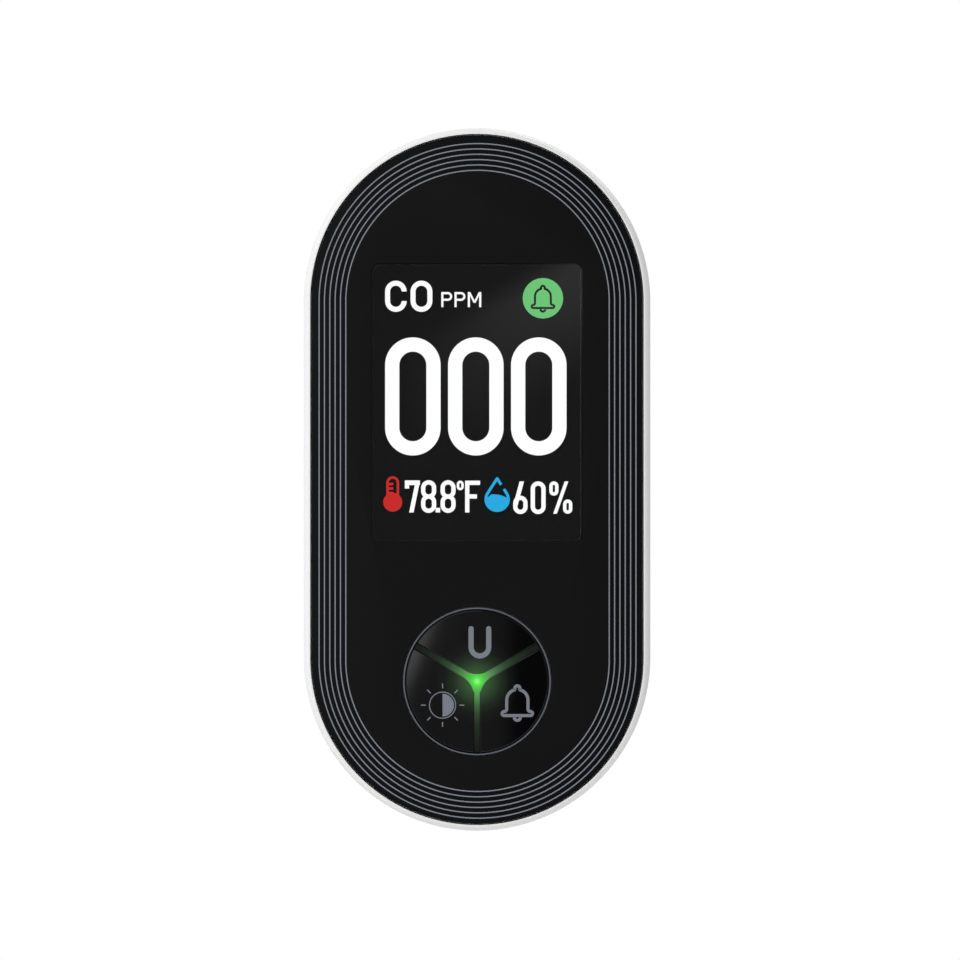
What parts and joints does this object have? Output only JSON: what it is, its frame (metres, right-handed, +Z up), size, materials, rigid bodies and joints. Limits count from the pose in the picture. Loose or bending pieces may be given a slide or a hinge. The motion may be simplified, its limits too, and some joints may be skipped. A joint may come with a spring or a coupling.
{
  "type": "carbon monoxide monitor",
  "caption": "Plug-in carbon monoxide monitor: oval white housing, black front with colour display, and a round cluster of push keys about a lit Y.",
  "frame": {"origin": "centre of the flat back face, which lies against the wall plate", "axes": "+Y out of the back, along the plug blades; the front faces -Y; +Z up, along the body's length; +X to the right as seen from the front"},
  "size_m": [0.0604, 0.0492, 0.1226],
  "materials": {
    "white_plastic": "satin, fine spark-eroded texture",
    "black_gloss": "smooth, screen-printed lines",
    "key_black": "gloss",
    "clear_plastic": "clear smoked, gloss",
    "display_glass": "gloss",
    "tape": "matt foam",
    "pale_plastic": "satin",
    "grey_plastic": "satin",
    "black_plastic": "satin",
    "flex": "amber film",
    "satin_grey": "satin",
    "light_guide": "translucent",
    "board_green": "solder mask",
    "board_tan": "bare laminate",
    "chip_black": "matt epoxy",
    "steel": "satin",
    "nickel": "nickel plated",
    "brass": "satin",
    "ferrite": "matt",
    "coil_tape": "film tape",
    "sleeve_black": "printed sleeve, blank",
    "fuse_brown": "satin",
    "blue_epoxy": "dipped epoxy",
    "felt": "felt",
    "label": "blank film label"
  },
  "bodies": {
    "housing": {"front_housing": "white_plastic", "rear_housing": "white_plastic", "front_panel": "black_gloss", "panel_tape": "tape", "display_window": "clear_plastic", "lcd_glass": "display_glass", "backlight_unit": "pale_plastic", "display_carrier": "grey_plastic", "display_flex": "flex", "flex_connector": "pale_plastic", "key_ring": "satin_grey", "light_guide": "light_guide", "status_led": "pale_plastic", "switch_units": "black_plastic", "switch_brightness": "black_plastic", "switch_alarm": "black_plastic", "main_board": "board_green", "controller_chip": "chip_black", "humidity_sensor": "chip_black", "co_sensor_can": "steel", "co_sensor_cap": "grey_plastic", "sensor_filter": "felt", "buzzer_housing": "black_plastic", "buzzer_disc": "brass", "power_board": "board_tan", "transformer_core": "ferrite", "transformer_coil": "coil_tape", "bulk_capacitor_1": "sleeve_black", "bulk_capacitor_2": "sleeve_black", "output_capacitor": "sleeve_black", "fuse": "fuse_brown", "rectifier": "chip_black", "power_chip": "chip_black", "y_capacitor": "blue_epoxy", "board_link": "black_plastic", "blade_holder": "black_plastic", "blade_left": "nickel", "blade_right": "nickel", "rating_label": "label", "case_screw_1": "steel", "case_screw_2": "steel", "case_screw_3": "steel", "case_screw_4": "steel", "board_screw_1": "steel", "board_screw_2": "steel", "board_screw_3": "steel", "board_screw_4": "steel", "power_screw_1": "steel", "power_screw_2": "steel"},
    "key_units": {"key_units": "key_black", "plunger_units": "grey_plastic"},
    "key_brightness": {"key_brightness": "key_black", "plunger_brightness": "grey_plastic"},
    "key_alarm": {"key_alarm": "key_black", "plunger_alarm": "grey_plastic"}
  },
  "joints": [
    {"name": "units_press", "type": "slide", "parent": "housing", "child": "key_units", "axis": [0, 1, 0], "range_m": [0, 0.0005], "stiffness_N_per_m": 1500},
    {"name": "brightness_press", "type": "slide", "parent": "housing", "child": "key_brightness", "axis": [0, 1, 0], "range_m": [0, 0.0005], "stiffness_N_per_m": 1500},
    {"name": "alarm_press", "type": "slide", "parent": "housing", "child": "key_alarm", "axis": [0, 1, 0], "range_m": [0, 0.0005], "stiffness_N_per_m": 1500}
  ]
}
